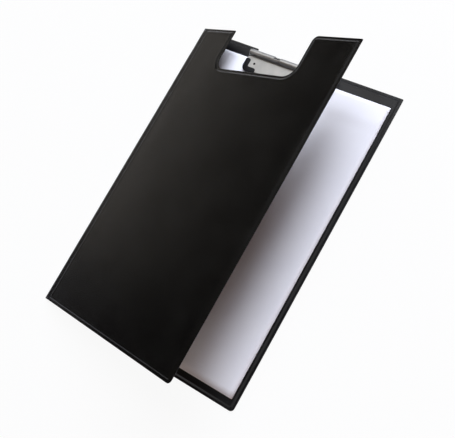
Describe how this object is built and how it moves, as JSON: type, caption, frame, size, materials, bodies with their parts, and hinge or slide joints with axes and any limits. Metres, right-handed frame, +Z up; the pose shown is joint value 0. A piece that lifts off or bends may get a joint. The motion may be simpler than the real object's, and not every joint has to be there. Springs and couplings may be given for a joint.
{
  "type": "fold-over clipboard",
  "caption": "A4 fold-over clipboard: two vinyl-covered boards joined by a flexible spine, with a sprung metal clip that stands in the cover's notch.",
  "frame": {"origin": "under the middle of the lower board, on the surface it lies on, with the cover standing half open as in the picture", "axes": "+Z up; +Y along the spine towards the clip; +X from the spine to the free edges; the cover turns about a line along Y at the spine"},
  "size_m": [0.23, 0.32, 0.0968],
  "materials": {
    "greyboard": "grey board, hidden inside the vinyl",
    "grained_vinyl": "black vinyl, fine leather grain, satin",
    "lining_vinyl": "black vinyl, fine grain, flatter than the outside",
    "pocket_film": "smooth black vinyl sheet, welded at its edges",
    "paper": "plain white office paper",
    "plated_steel": "pressed steel, satin nickel plating",
    "pin_steel": "drawn steel rod, heads rolled over",
    "spring_steel": "bright spring wire",
    "corner_plastic": "black moulded plastic",
    "rivet_steel": "nickel-plated tubular rivet"
  },
  "bodies": {
    "board": {"board_core": "greyboard", "board_outer_skin": "grained_vinyl", "board_inner_skin": "lining_vinyl", "spine_strip_outer": "grained_vinyl", "spine_strip_inner": "lining_vinyl", "paper_stack": "paper", "clip_base": "plated_steel", "clip_pin": "pin_steel", "clip_spring_left": "spring_steel", "clip_spring_right": "spring_steel", "clip_rivets": "rivet_steel"},
    "cover": {"cover_core": "greyboard", "cover_outer_skin": "grained_vinyl", "cover_inner_skin": "lining_vinyl", "cover_pocket": "pocket_film"},
    "lever": {"clip_lever": "plated_steel", "corner_cap_left": "corner_plastic", "corner_cap_right": "corner_plastic"}
  },
  "joints": [
    {"name": "cover_hinge", "type": "hinge", "parent": "board", "child": "cover", "pos_m": [-0.1124, 0, 0.0037], "axis": [0, -1, 0], "range_deg": [-23.5, 156.5], "deforming": ["spine_strip_outer", "spine_strip_inner"]},
    {"name": "clip_pivot", "type": "hinge", "parent": "board", "child": "lever", "pos_m": [0, 0.1518, 0.0084], "axis": [-1, 0, 0], "range_deg": [0, 65], "stiffness_Nm_per_rad": 0.12, "springref_deg": -68.75, "deforming": ["clip_spring_left", "clip_spring_right"]}
  ]
}
